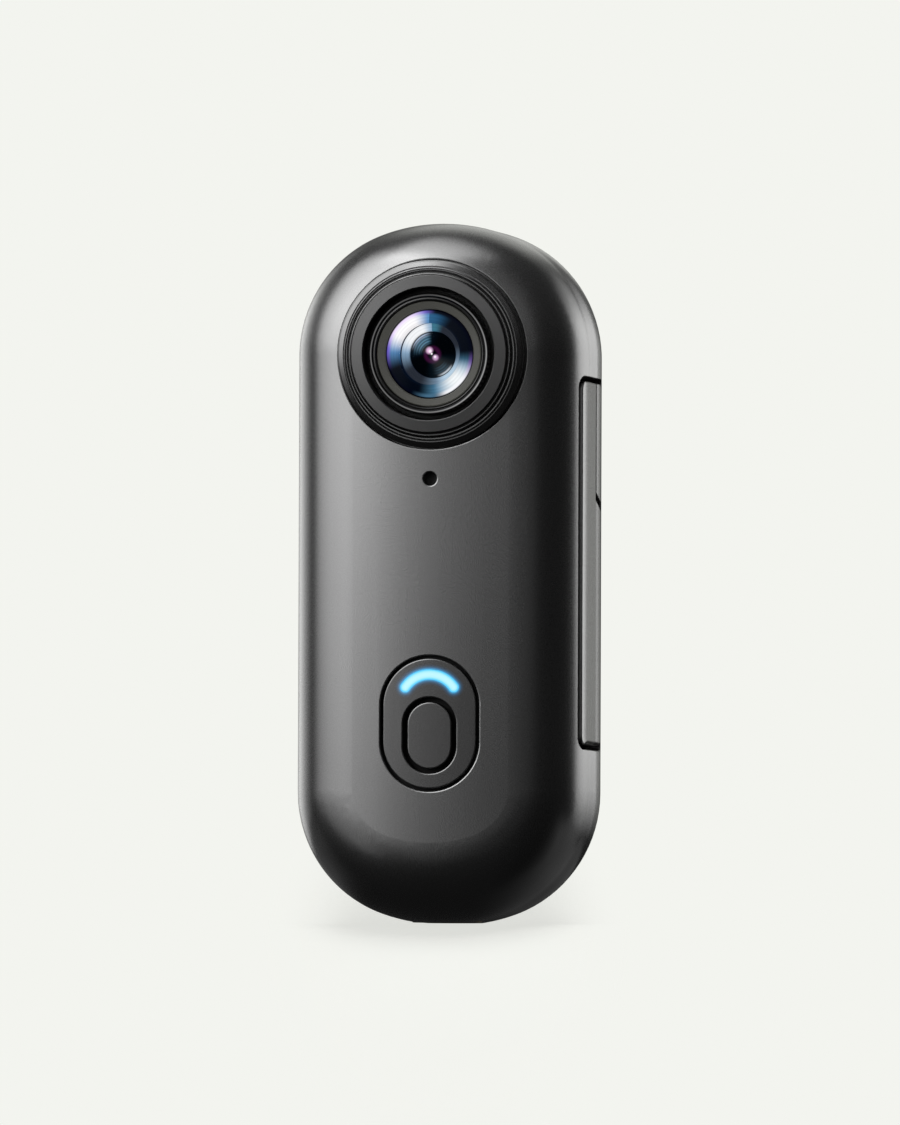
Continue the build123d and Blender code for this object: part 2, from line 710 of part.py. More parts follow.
PIECES = {
    "front_shell": front_shell,
    "rear_cover": rear_cover,
    "cover_seal": cover_seal,
    "rear_plate": rear_plate,
    "cover_screws": cover_screws,
    "tripod_insert": tripod_insert,
    "inner_frame": inner_frame,
    "lens_bezel": lens_bezel,
    "lens_trim_ring": lens_trim_ring,
    "lens_barrel": lens_barrel,
    "lens_retaining_ring": lens_retaining_ring,
    "front_lens": front_lens,
    "lens_spacer": lens_spacer,
    "second_lens": lambda: lens_element(2.06, -8.95, -8.5, -7.9, -7.6),
    "aperture_stop": aperture_stop,
    "third_lens": lambda: lens_element(3.3, -7.0, -6.6, -5.4, -5.0),
    "rear_lens": lambda: lens_element(2.68, -4.3, -3.9, -2.9, -2.5),
    "lens_holder": lens_holder,
    "lens_o_ring": lens_o_ring,
    "ir_filter": ir_filter,
    "image_sensor": image_sensor,
    "sensor_board": sensor_board,
    "sensor_flex": sensor_flex,
    "button_panel": button_panel,
    "record_button": record_button,
    "button_seal": button_seal,
    "record_switch": record_switch,
    "switch_plunger": switch_plunger,
    "light_guide": light_guide,
    "status_leds": status_leds,
    "front_board": front_board,
    "microphone": microphone,
    "mic_boot": mic_boot,
    "mic_mesh": mic_mesh,
    "button_flex": button_flex,
    "main_board": main_board,
    "board_screws": board_screws,
    "processor": processor,
    "shield_can": shield_can,
    "heat_spreader": heat_spreader,
    "battery": battery,
    "speaker": speaker,
    "antenna": antenna,
    "port_bay": port_bay,
    "usb_socket": usb_socket,
    "card_socket": card_socket,
    "memory_card": memory_card,
    "hinge_pin": hinge_pin,
    "side_door": side_door,
    "door_gasket": door_gasket,
    "door_release": door_release,
    "latch_bolt": latch_bolt,
    "release_spring": release_spring,
    "bolt_spring": bolt_spring,
}

os.makedirs("parts", exist_ok=True)
for name, make in PIECES.items():
    export_step(make(), f"parts/{name}.step")
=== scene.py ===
"""Materials, studio light and the photograph's view for the mini action camera."""
import math

import bpy
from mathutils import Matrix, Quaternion, Vector


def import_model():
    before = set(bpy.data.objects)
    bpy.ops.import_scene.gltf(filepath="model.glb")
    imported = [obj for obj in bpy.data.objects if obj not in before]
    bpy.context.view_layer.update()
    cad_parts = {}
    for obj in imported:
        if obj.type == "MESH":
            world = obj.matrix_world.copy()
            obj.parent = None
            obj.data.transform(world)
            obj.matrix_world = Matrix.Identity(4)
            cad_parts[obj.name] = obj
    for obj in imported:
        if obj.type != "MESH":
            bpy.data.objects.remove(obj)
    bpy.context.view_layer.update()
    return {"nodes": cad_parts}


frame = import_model()
nodes = frame["nodes"]
MM = 0.001

# The photograph's view: from a little to the right of the lens, and a little below
AZIMUTH = 9.7
ELEVATION = -1.7
DISTANCE = 2.0
ROLL = 0.2
PIXELS_PER_MM = 11.25
IMAGE_HEIGHT = 1125
AIM_Z = 0.0320
AIM_RIGHT = 0.00012
SENSOR_MM = 36.0

# Places on the object, in metres: its middle, the lens axis and the middle of the lit arc's circle
MIDDLE_Z = 0.031
LENS_Z = 0.05015
ARC_Z = 0.01915

# The lit arc: its middle line's radius and its half width in mm, and how far it runs to each side of the top
ARC_R = 2.65
ARC_HALF_WIDTH = 0.45
ARC_END = math.radians(55)

# The panel's seat: where the face ends and the groove with its painted shade begins, over Y, and the groove's
# other limits
FACE_Y = -0.00972
GROOVE_Y = -0.00955
GROOVE_BACK_Y = -0.006
GROOVE_HALF_WIDTH = 0.005
GROOVE_LOW_Z = 0.0104
GROOVE_HIGH_Z = 0.0246

# Colours of the backdrop, the shell and the panel, the painted shade in the groove, and the finish of shell
# and panel
PALE = (0.896, 0.905, 0.863)
SHELL = (0.16, 0.16, 0.16)
PANEL = (0.1, 0.1, 0.1)
GROOVE_PAINTED_SHADE = (0.004, 0.004, 0.004)
SATIN = {"rough": 0.27, "metallic": 0.8, "grain": 30000.0, "bump": 0.003}

# How far a normal points to the side, from where a surface begins to be flank to where it is flank only
FLANK = (0.2, 0.7)

# The painted shade on the flank: the dark grey laid over its back, and how much of it shows near the base,
# given over Z
FLANK_PAINTED_SHADE = 0.02
BASE_PAINTED_SHADE = (0.004, 0.018, 0.5, 0.0)

# The fine mottle's scale, the depth of the grain's relief, and how far the grain moves the roughness
MOTTLE_SCALE = 150.0
RELIEF = 0.02 * MM
ROUGH_SPREAD = 0.01

# The clock hour at which a turn round the lens begins
START_HOUR = 7.5

# Rings on the lens, each as (start, full) or (start, full, until, end) in mm from the axis
CLEAR_EDGE = (2.7, 2.78)
NEAR_RING = (2.74, 3.0)
RIM_COLOURS = (3.42, 3.72)
DARK_EDGE = (3.78, 3.9)
PALE_RING = (2.05, 2.12, 2.76, 2.8)
PUPIL_RING = (0.3, 0.55, 0.62, 0.9)
BARREL_EDGE = (5.1, 5.17, 5.22, 5.28)

# How fast the fine rings follow each other, in radians per mm, and the share of a painted glint that shows in
# full
COAT_RIPPLE = 24.0
IRIS_RIPPLE = 27.0
SPOT_CORE = 0.3

# How bright the painted highlight on the barrel's front edge is, by clock hour
RIM_LINE = [(7.5, 0.13), (9.0, 0.12), (10.5, 0.07), (12.0, 0.045), (13.5, 0.12), (15.0, 0.26), (16.5, 0.3),
            (18.0, 0.16), (19.49, 0.13)]

# How bright the room is, mirrored in the object away from the pale wall, and as it lights the object
ROOM_MIRRORED = 0.015
ROOM_LIGHTS = 0.03

# The paper: half its size, its height where it is level, the height of the second one, the slope that it
# falls and rises with, and where it leaves the level over Y
PAPER_HALF = 0.6
PAPER_Z = -0.2 * MM
SECOND_PAPER_Z = -0.1 * MM
PAPER_SLOPE = 0.6
FALLS_FROM = -0.003
RISES_FROM = 0.008
BENDS_OVER = 0.003

# In the shaded place, the share of its own brightness that the paper gives up, and how much of the lamps'
# light it takes instead
FLOOR_SHADED = 0.22
FLOOR_TAKES = 0.56

# The shaded place: how much it is narrowed across the view, and where it fades out
SHADE_NARROWED = 2.6
SHADE_FADES = (0.022, 0.042)

# The paper as the object mirrors it: dim, with a paler place at each side, given over X, that begins over Y
MIRRORED_LEVEL = 0.03
RIGHT_GLOW = (0.003, 0.016, 0.03, 0.06)
RIGHT_GLOW_LEVEL = 0.33
LEFT_GLOW = (-0.06, -0.03, -0.016, -0.008)
LEFT_GLOW_LEVEL = 0.12
GLOW_BEGINS = (-0.009, -0.001)

# Behind this place over Y, the paper is left out of reflections and shadows
UNMIRRORED_FROM = 0.014


def direction(azimuth, elevation):
    """The unit vector towards a place round the object; azimuth 0 is in front of the lens."""
    a = math.radians(azimuth)
    e = math.radians(elevation)
    return Vector((math.sin(a) * math.cos(e), -math.cos(a) * math.cos(e), math.sin(e)))


def grey(level):
    return (level, level, level, 1)


def clock(hour):
    """The share of a turn clockwise from START_HOUR that a clock hand's hour stands for."""
    return ((hour - START_HOUR) % 12) / 12


class Shader:
    """A short way to write a node tree: make nodes and join them."""

    def __init__(self, tree):
        self.tree = tree
        tree.nodes.clear()

    def node(self, kind, **values):
        made = self.tree.nodes.new(kind)
        for key, value in values.items():
            setattr(made, key, value)
        return made

    def join(self, source, target):
        self.tree.links.new(source, target)

    def feed(self, target, value):
        """A socket's value: another socket, or a constant."""
        if isinstance(value, bpy.types.NodeSocket):
            self.join(value, target)
        else:
            target.default_value = value

    def math(self, operation, *values):
        made = self.node("ShaderNodeMath", operation=operation)
        for socket, value in zip(made.inputs, values):
            self.feed(socket, value)
        return made.outputs[0]

    def product(self, first, second):
        return self.math("MULTIPLY", first, second)

    def ramp(self, value, low, high, out_low=0.0, out_high=1.0):
        """Eases from one value to another between two places of the first value."""
        made = self.node("ShaderNodeMapRange", interpolation_type="SMOOTHSTEP")
        for socket, entry in zip(made.inputs, (value, low, high, out_low, out_high)):
            self.feed(socket, entry)
        return made.outputs[0]

    def mix(self, factor, first, second):
        made = self.node("ShaderNodeMix", data_type="RGBA")
        self.feed(made.inputs[0], factor)
        # sockets 6 and 7 are its two colours, and those before them are for values and vectors
        self.feed(made.inputs[6], first)
        self.feed(made.inputs[7], second)
        return made.outputs[2]

    def noise(self, scale, detail, vector):
        made = self.node("ShaderNodeTexNoise")
        made.inputs["Scale"].default_value = scale
        made.inputs["Detail"].default_value = detail
        self.join(vector, made.inputs["Vector"])
        return made.outputs["Fac"]

    def place(self):
        """The point's own place on the object, in metres."""
        return self.node("ShaderNodeTexCoord").outputs["Object"]

    def parts(self, vector):
        """The X, Y and Z of a vector."""
        split = self.node("ShaderNodeSeparateXYZ")
        self.join(vector, split.inputs[0])
        return split.outputs[0], split.outputs[1], split.outputs[2]

    def length(self, first, second):
        """How far two measures at right angles reach together."""
        squares = self.math("ADD", self.product(first, first), self.product(second, second))
        return self.math("SQRT", squares)

    def polar(self):
        """Distance from the lens axis in mm, and the share of a turn round it from START_HOUR."""
        x, _, z = self.parts(self.place())
        up = self.math("SUBTRACT", z, LENS_Z)
        radius = self.product(self.length(x, up), 1 / MM)
        turn = self.math("FRACT", self.math("DIVIDE", self.math("ARCTAN2", up, x), -2 * math.pi))
        return radius, self.math("FRACT", self.math("ADD", turn, clock(3)))

    def colours(self, value, stops, kind="B_SPLINE"):
        """A colour ramp from (position, colour) stops."""
        made = self.node("ShaderNodeValToRGB")
        ramp = made.color_ramp
        ramp.interpolation = kind
        while len(ramp.elements) < len(stops):
            ramp.elements.new(0.5)
        for element, (position, colour) in zip(ramp.elements, stops):
            element.position = position
            element.color = (*colour, 1)
        self.feed(made.inputs[0], value)
        return made.outputs["Color"]

    def levels(self, value, stops):
        """A share from (place, share) pairs, or 1 everywhere."""
        if not stops:
            return 1.0
        greys = [(place, (share, share, share)) for place, share in stops]
        split = self.node("ShaderNodeSeparateColor")
        self.join(self.colours(value, greys, "LINEAR"), split.inputs[0])
        return split.outputs[0]

    def band(self, value, start, full, until, end):
        """1 between two places of a value, easing to 0 outside them."""
        return self.product(self.ramp(value, start, full), self.ramp(value, until, end, 1.0, 0.0))

    def spot(self, x, z, size):
        """1 at a point of the face, in mm from the lens axis, easing to 0 at this distance from it."""
        far = self.node("ShaderNodeVectorMath", operation="DISTANCE")
        flat = self.node("ShaderNodeVectorMath", operation="MULTIPLY")
        self.join(self.place(), flat.inputs[0])
        flat.inputs[1].default_value = (1.0, 0.0, 1.0)
        self.join(flat.outputs[0], far.inputs[0])
        far.inputs[1].default_value = (x * MM, 0.0, LENS_Z + z * MM)
        return self.ramp(far.outputs["Value"], size * SPOT_CORE * MM, size * MM, 1.0, 0.0)

    def blend(self, share, first, second):
        """Two shaders mixed."""
        made = self.node("ShaderNodeMixShader")
        for socket, entry in zip(made.inputs, (share, first, second)):
            self.feed(socket, entry)
        return made.outputs[0]

    def show(self, shader):
        """Puts a shader on the material's own output."""
        found = [node for node in self.tree.nodes if node.bl_idname == "ShaderNodeOutputMaterial"]
        out = found[0] if found else self.node("ShaderNodeOutputMaterial")
        self.join(shader, out.inputs["Surface"])


def camera():
    data = bpy.data.cameras.new("camera")
    data.sensor_width = SENSOR_MM
    data.lens = PIXELS_PER_MM * SENSOR_MM * DISTANCE / MM / IMAGE_HEIGHT
    data.clip_start = 0.01
    data.clip_end = 20.0
    cam = bpy.data.objects.new("camera", data)
    back = direction(AZIMUTH, ELEVATION)
    right = direction(AZIMUTH + 90, 0)
    cam.location = Vector((0, 0, AIM_Z)) + back * DISTANCE + right * AIM_RIGHT
    cam.rotation_mode = "QUATERNION"
    level = (-back).to_track_quat("-Z", "Y")
    cam.rotation_quaternion = level @ Quaternion((0, 0, 1), math.radians(ROLL))
    bpy.context.scene.collection.objects.link(cam)
    bpy.context.scene.camera = cam


def softbox(name, azimuth, elevation, distance, width, height, radiance, across=None, up=None):
    """A panel that faces the middle of the object and only shows mirrored in it. Radiance 1 is white.

    across and up are (place, share) pairs: how the panel's brightness runs over its width and height.
    """
    data = bpy.data.lights.new(name, "AREA")
    data.shape = "RECTANGLE"
    data.size = width
    data.size_y = height
    data.energy = radiance * math.pi * width * height
    lamp = bpy.data.objects.new(name, data)
    towards = direction(azimuth, elevation)
    lamp.location = Vector((0, 0, MIDDLE_Z)) + towards * distance
    lamp.rotation_mode = "QUATERNION"
    lamp.rotation_quaternion = towards.to_track_quat("Z", "Y")
    lamp.visible_diffuse = False
    bpy.context.scene.collection.objects.link(lamp)
    if across or up:
        data.use_nodes = True
        s = Shader(data.node_tree)
        x, y, _ = s.parts(s.node("ShaderNodeNewGeometry").outputs["Parametric"])
        glow = s.node("ShaderNodeEmission")
        level = s.product(s.levels(x, across), s.levels(y, up))
        s.join(level, glow.inputs["Strength"])
        s.join(glow.outputs[0], s.node("ShaderNodeOutputLight").inputs["Surface"])
    return lamp


def world():
    """Pale to the camera. Mirrored in the object it is dark, but for a pale wall behind and above."""
    made = bpy.data.worlds.new("studio")
    bpy.context.scene.world = made
    made.use_nodes = True
    s = Shader(made.node_tree)
    path = s.node("ShaderNodeLightPath")
    x, y, z = s.parts(s.node("ShaderNodeTexCoord").outputs["Generated"])
    wall = s.product(s.ramp(y, 0.4, 0.75), s.ramp(z, 0.02, 0.4, 0.5, 1.3))
    wall = s.product(wall, s.ramp(z, -0.2, 0.0))
    # the wall dims halfway between level and upright, so that the rounded top keeps its darker shoulders
    squares = s.math("ADD", s.product(x, x), s.product(z, z))
    twice = s.product(s.math("ABSOLUTE", s.product(x, z)), 2.0)
    slant = s.math("DIVIDE", twice, s.math("ADD", squares, 0.0001))
    wall = s.product(wall, s.ramp(slant, 0.55, 1.0, 1.0, 0.12))
    room = s.mix(wall, grey(ROOM_MIRRORED), (*PALE, 1))
    room.node.clamp_factor = False
    seen = s.mix(path.outputs["Is Camera Ray"], room, (*PALE, 1))
    shows = s.math("MAXIMUM", path.outputs["Is Camera Ray"], path.outputs["Is Glossy Ray"])
    shows = s.math("MAXIMUM", shows, path.outputs["Is Transmission Ray"])
    colour = s.mix(shows, grey(ROOM_LIGHTS), seen)
    background = s.node("ShaderNodeBackground")
    s.join(colour, background.inputs["Color"])
    s.join(background.outputs[0], s.node("ShaderNodeOutputWorld").inputs["Surface"])


def sheet(name, verts, faces, material):
    """A smooth piece of the studio, such as a backdrop."""
    mesh = bpy.data.meshes.new(name)
    mesh.from_pydata(verts, [], faces)
    for polygon in mesh.polygons:
        polygon.use_smooth = True
    mesh.materials.append(material)
    made = bpy.data.objects.new(name, mesh)
    bpy.context.scene.collection.objects.link(made)
    return made


def floor():
    """Two pale papers that show from above only.

    The first falls away in front of the object and rises a little behind it, for the photograph's low view.
    The second is level, for views from higher up, and shows to the camera only.
    """
    material = paper()
    verts = []
    faces = []
    ys = [0.045, 0.03, 0.02, 0.014, 0.011, RISES_FROM, 0.0, FALLS_FROM, -0.005, -0.007, -0.01, -0.015, -0.02,
          -PAPER_HALF]
    for y in ys:
        rise = max(y - RISES_FROM, 0.0)
        drop = max(FALLS_FROM - y, 0.0)
        bend = rise * rise / (rise + BENDS_OVER) - drop * drop / (drop + BENDS_OVER)
        for x in (-PAPER_HALF, PAPER_HALF):
            verts.append((x, y, PAPER_SLOPE * bend + PAPER_Z))
    for i in range(len(ys) - 1):
        faces.append((2 * i, 2 * i + 2, 2 * i + 3, 2 * i + 1))
    sheet("curved_floor", verts, faces, material)
    corners = [(PAPER_HALF * x, PAPER_HALF * y, SECOND_PAPER_Z)
               for x, y in ((-1, -1), (1, -1), (1, 1), (-1, 1))]
    level = sheet("level_floor", corners, [(0, 1, 2, 3)], material)
    level.visible_diffuse = False
    level.visible_glossy = False
    level.visible_transmission = False
    level.visible_shadow = False


def paper():
    """White paper that shows as the backdrop's own colour, and takes shade round the object only."""
    material = bpy.data.materials.new("pale_floor")
    material.use_nodes = True
    s = Shader(material.node_tree)
    path = s.node("ShaderNodeLightPath")
    shows = s.math("MAXIMUM", path.outputs["Is Camera Ray"], path.outputs["Is Transmission Ray"])
    x, y, _ = s.parts(s.place())
    right = direction(AZIMUTH + 90, 0)
    across = s.math("ADD", s.product(x, SHADE_NARROWED * right.x), s.product(y, SHADE_NARROWED * right.y))
    shaded = s.product(s.ramp(s.length(across, y), *SHADE_FADES, 1.0, 0.0), shows)
    diffuse = s.node("ShaderNodeBsdfDiffuse")
    s.join(s.mix(shaded, grey(0.0), (*[c * FLOOR_TAKES for c in PALE], 1)), diffuse.inputs["Color"])
    right_glow = s.product(s.band(x, *RIGHT_GLOW), RIGHT_GLOW_LEVEL)
    left_glow = s.product(s.band(x, *LEFT_GLOW), LEFT_GLOW_LEVEL)
    mirrored = s.product(s.math("ADD", right_glow, left_glow), s.ramp(y, *GLOW_BEGINS))
    mirrored = s.product(s.math("ADD", mirrored, MIRRORED_LEVEL), path.outputs["Is Glossy Ray"])
    plain = s.mix(shaded, (*PALE, 1), (*[c * (1 - FLOOR_SHADED) for c in PALE], 1))
    glow = s.node("ShaderNodeEmission")
    s.join(s.mix(shows, mirrored, plain), glow.inputs["Color"])
    add = s.node("ShaderNodeAddShader")
    s.join(diffuse.outputs[0], add.inputs[0])
    s.join(glow.outputs[0], add.inputs[1])
    # no paper shows from below
    unseen = s.math("MAXIMUM", path.outputs["Is Glossy Ray"], path.outputs["Is Shadow Ray"])
    unseen = s.product(unseen, s.math("GREATER_THAN", y, UNMIRRORED_FROM))
    unseen = s.math("MAXIMUM", unseen, s.node("ShaderNodeNewGeometry").outputs["Backfacing"])
    s.show(s.blend(unseen, add.outputs[0], s.node("ShaderNodeBsdfTransparent").outputs[0]))
    return material


def solid(name, colour, rough, metallic=0.0, specular=0.5, mottle=0.04, grain=12000.0, bump=0.02):
    """A material with a fine mottle in its colour and roughness, and a fine grain."""
    material = bpy.data.materials.new(name)
    material.use_nodes = True
    s = Shader(material.node_tree)
    shader = s.node("ShaderNodeBsdfPrincipled")
    place = s.place()
    cloud = s.noise(MOTTLE_SCALE, 3.0, place)
    fine = s.noise(grain, 2.0, place)
    dark = tuple(c * (1 - mottle) for c in colour)
    light = tuple(min(c * (1 + mottle), 1) for c in colour)
    s.join(s.mix(cloud, (*dark, 1), (*light, 1)), shader.inputs["Base Color"])
    s.join(s.ramp(fine, 0.3, 0.7, rough - ROUGH_SPREAD, rough + ROUGH_SPREAD), shader.inputs["Roughness"])
    shader.inputs["Metallic"].default_value = metallic
    shader.inputs["Specular IOR Level"].default_value = specular
    raised = s.node("ShaderNodeBump")
    raised.inputs["Strength"].default_value = bump
    raised.inputs["Distance"].default_value = RELIEF
    s.join(fine, raised.inputs["Height"])
    s.join(raised.outputs[0], shader.inputs["Normal"])
    s.show(shader.outputs[0])
    return material, s, shader


def surface(*values, **more):
    """A solid material that needs nothing added to its nodes."""
    return solid(*values, **more)[0]


def shine(s, shader, colour):
    """Makes a solid material show by itself, in a colour that is worked out or the same all over."""
    s.feed(shader.inputs["Emission Color"], colour)
    shader.inputs["Emission Strength"].default_value = 1.0


def over(s, shader, share, colour):
    """Mixes another colour over a solid material's own."""
    base = shader.inputs["Base Color"]
    s.join(s.mix(share, base.links[0].from_socket, (*colour, 1)), base)


def paint(material, *names):
    for name in names:
        mesh = nodes[name].data
        mesh.materials.clear()
        mesh.materials.append(material)


def sweeps(s, turn, ground, marks):
    """A ground colour with marks over it, each (start, full, until, end, colour) in clock hours."""
    colour = (*ground, 1)
    for start, full, until, end, tint in marks:
        share = s.band(turn, clock(start), clock(full), clock(until), clock(end))
        colour = s.mix(share, colour, (*tint, 1))
    return colour


def shell_material(name, turned, painted_shade):
    """Dark satin anodising, with painted shade in the groove round the panel.

    Both bands are over Y in metres, with a share: turned is where the flank's light bends forward, as on
    a softly rounded edge, and the other is where painted shade darkens the flank towards the back.
    """
    material, s, shader = solid(name, SHELL, **SATIN)
    x, y, z = s.parts(s.place())
    # painted shade: the shell's walls in the groove beside the panel are painted black
    sunk = s.band(y, FACE_Y, GROOVE_Y, GROOVE_BACK_Y, GROOVE_BACK_Y + 0.1 * MM)
    beside = s.math("LESS_THAN", s.math("ABSOLUTE", x), GROOVE_HALF_WIDTH)
    level_with = s.band(z, GROOVE_LOW_Z, GROOVE_LOW_Z + 0.1 * MM, GROOVE_HIGH_Z - 0.1 * MM, GROOVE_HIGH_Z)
    over(s, shader, s.product(s.product(sunk, beside), level_with), GROOVE_PAINTED_SHADE)
    normal = s.node("ShaderNodeNewGeometry").outputs["Normal"]
    flank = s.ramp(s.parts(normal)[0], *FLANK)
    turn = s.product(s.product(s.band(y, *turned[:4]), -turned[4]), flank)
    forward = s.node("ShaderNodeCombineXYZ")
    s.join(turn, forward.inputs["Y"])
    bent = s.node("ShaderNodeVectorMath", operation="ADD")
    s.join(normal, bent.inputs[0])
    s.join(forward.outputs[0], bent.inputs[1])
    unit = s.node("ShaderNodeVectorMath", operation="NORMALIZE")
    s.join(bent.outputs[0], unit.inputs[0])
    s.join(unit.outputs[0], shader.inputs["Normal"].links[0].from_node.inputs["Normal"])
    # painted shade: the flank is darkened with a dark grey towards the back, and a little towards the base
    edge = s.product(s.band(y, *painted_shade[:4]), painted_shade[4])
    low = s.ramp(z, *BASE_PAINTED_SHADE)
    flank_shade = s.node("ShaderNodeBsdfDiffuse")
    flank_shade.inputs["Color"].default_value = grey(FLANK_PAINTED_SHADE)
    s.show(s.blend(s.product(s.math("MAXIMUM", edge, low), flank), shader.outputs[0], flank_shade.outputs[0]))
    return material


def arc_distance(s):
    """The distance in mm from the middle line of the light's arc, over the panel's face."""
    x, _, z = s.parts(s.place())
    across = s.product(s.math("ABSOLUTE", x), 1 / MM)
    up = s.product(s.math("SUBTRACT", z, ARC_Z), 1 / MM)
    angle = s.math("MINIMUM", s.math("ARCTAN2", across, up), ARC_END)
    beside = s.math("SUBTRACT", across, s.product(s.math("SINE", angle), ARC_R))
    above = s.math("SUBTRACT", up, s.product(s.math("COSINE", angle), ARC_R))
    return s.length(beside, above)


def panel_material():
    """The panel's own satin, with painted shade on its walls in the groove, and a painted blue glow of the
    light round the arc.
    """
    material, s, shader = solid("satin_panel", PANEL, **SATIN)
    y = s.parts(s.place())[1]
    # painted shade: the panel's walls in the groove, behind its face, are painted black
    over(s, shader, s.ramp(y, FACE_Y, GROOVE_Y), GROOVE_PAINTED_SHADE)
    # painted light: a blue glow of the lit arc, painted round it on the panel and fading with distance
    shine(s, shader, s.colours(arc_distance(s), [
        (0.0, (0.05, 0.42, 0.8)), (0.44, (0.04, 0.38, 0.72)), (0.54, (0.012, 0.17, 0.36)),
        (0.68, (0.001, 0.025, 0.06)), (0.9, (0.0, 0.0, 0.0))]))
    return material


def light_material():
    """Pale in the middle of the arc and bluer towards its edge."""
    material, s, shader = solid("lit_arc", (0.02, 0.05, 0.08), rough=0.4)
    shine(s, shader, s.colours(s.math("DIVIDE", arc_distance(s), ARC_HALF_WIDTH), [
        (0.0, (0.52, 0.9, 0.97)), (0.5, (0.46, 0.88, 0.97)), (0.78, (0.14, 0.72, 0.96)),
        (0.95, (0.08, 0.56, 0.9)), (1.0, (0.05, 0.45, 0.8))]))
    return material


def optic(name, colour_of, rough, specular):
    """A coated piece of the lens: its colour, with painted reflections, is worked out round the axis, and
    shows by itself.
    """
    material, s, shader = solid(name, (0.004, 0.004, 0.005), rough, specular=specular, grain=4000.0)
    radius, turn = s.polar()
    shine(s, shader, colour_of(s, radius, turn))
    return material, s, shader


def ripple(s, radius, colour):
    """Faint rings, as the coatings of a lens give."""
    wave = s.math("SINE", s.product(radius, COAT_RIPPLE))
    return s.mix(s.ramp(wave, -1.0, 1.0, 0.0, 0.1), colour, (0, 0, 0, 1))


def coating_with_painted_reflections(s, radius, turn):
    """The coating's blue-black and violet, with painted reflections: two broad pale sweeps, and pale
    highlights in the violet rim at the left.
    """
    # painted reflections: the pale sweeps and the pale marks in the rim stand for lights mirrored in the
    # glass
    sweep = sweeps(s, turn, (0.0005, 0.002, 0.006), [
        (8.2, 9.5, 11.97, 12.02, (0.09, 0.27, 0.55)), (9.0, 10.1, 11.1, 12.0, (1.0, 0.98, 1.0)),
        (11.97, 12.01, 12.05, 13.2, (0.02, 0.11, 0.24)), (14.8, 16.0, 17.0, 18.6, (0.1, 0.29, 0.47)),
        (15.2, 16.4, 16.5, 17.8, (0.92, 0.96, 0.98))])
    rim = sweeps(s, turn, (0.0, 0.001, 0.006), [
        (8.2, 9.4, 11.6, 12.3, (0.16, 0.12, 0.6)), (9.2, 10.1, 11.0, 11.9, (0.85, 0.72, 0.98)),
        (14.8, 15.6, 16.0, 16.6, (0.16, 0.1, 0.36)), (15.25, 16.35, 17.0, 18.1, (0.93, 0.94, 0.98)),
        (17.2, 17.9, 18.0, 18.9, (0.06, 0.15, 0.24))])
    near_ring = s.ramp(radius, *NEAR_RING, 0.2, 0.0)
    sweep = s.mix(near_ring, ripple(s, radius, sweep), (0.002, 0.01, 0.03, 1))
    colour = s.mix(s.ramp(radius, *RIM_COLOURS), sweep, rim)
    return s.mix(s.ramp(radius, *DARK_EDGE), colour, (0.0, 0.0, 0.002, 1))


def front_glass():
    """The coated dome with painted reflections, clear in the middle."""
    material, s, shader = optic("coated_glass_painted_reflections", coating_with_painted_reflections, rough=0.1, specular=0.06)
    coated = s.ramp(s.polar()[0], *CLEAR_EDGE, 0.015, 1.0)
    s.show(s.blend(coated, s.node("ShaderNodeBsdfTransparent").outputs[0], shader.outputs[0]))
    return material


def pale_ring(s, radius, turn):
    """The grey-blue ring behind the front glass, with a painted highlight that makes it brightest at upper
    left.
    """
    # painted reflections: the pale sweeps on the ring stand for lights mirrored in it
    ring = sweeps(s, turn, (0.022, 0.027, 0.038), [
        (7.8, 9.6, 11.92, 12.0, (0.28, 0.44, 0.62)), (9.0, 10.2, 11.2, 11.95, (0.93, 0.95, 0.98)),
        (11.92, 12.0, 12.1, 12.8, (0.05, 0.18, 0.26)), (14.2, 16.2, 17.0, 18.9, (0.22, 0.33, 0.46)),
        (15.2, 16.4, 16.9, 17.8, (0.48, 0.64, 0.78))])
    edges = s.band(radius, *PALE_RING)
    return s.mix(edges, (0.01, 0.015, 0.03, 1), ripple(s, radius, ring))


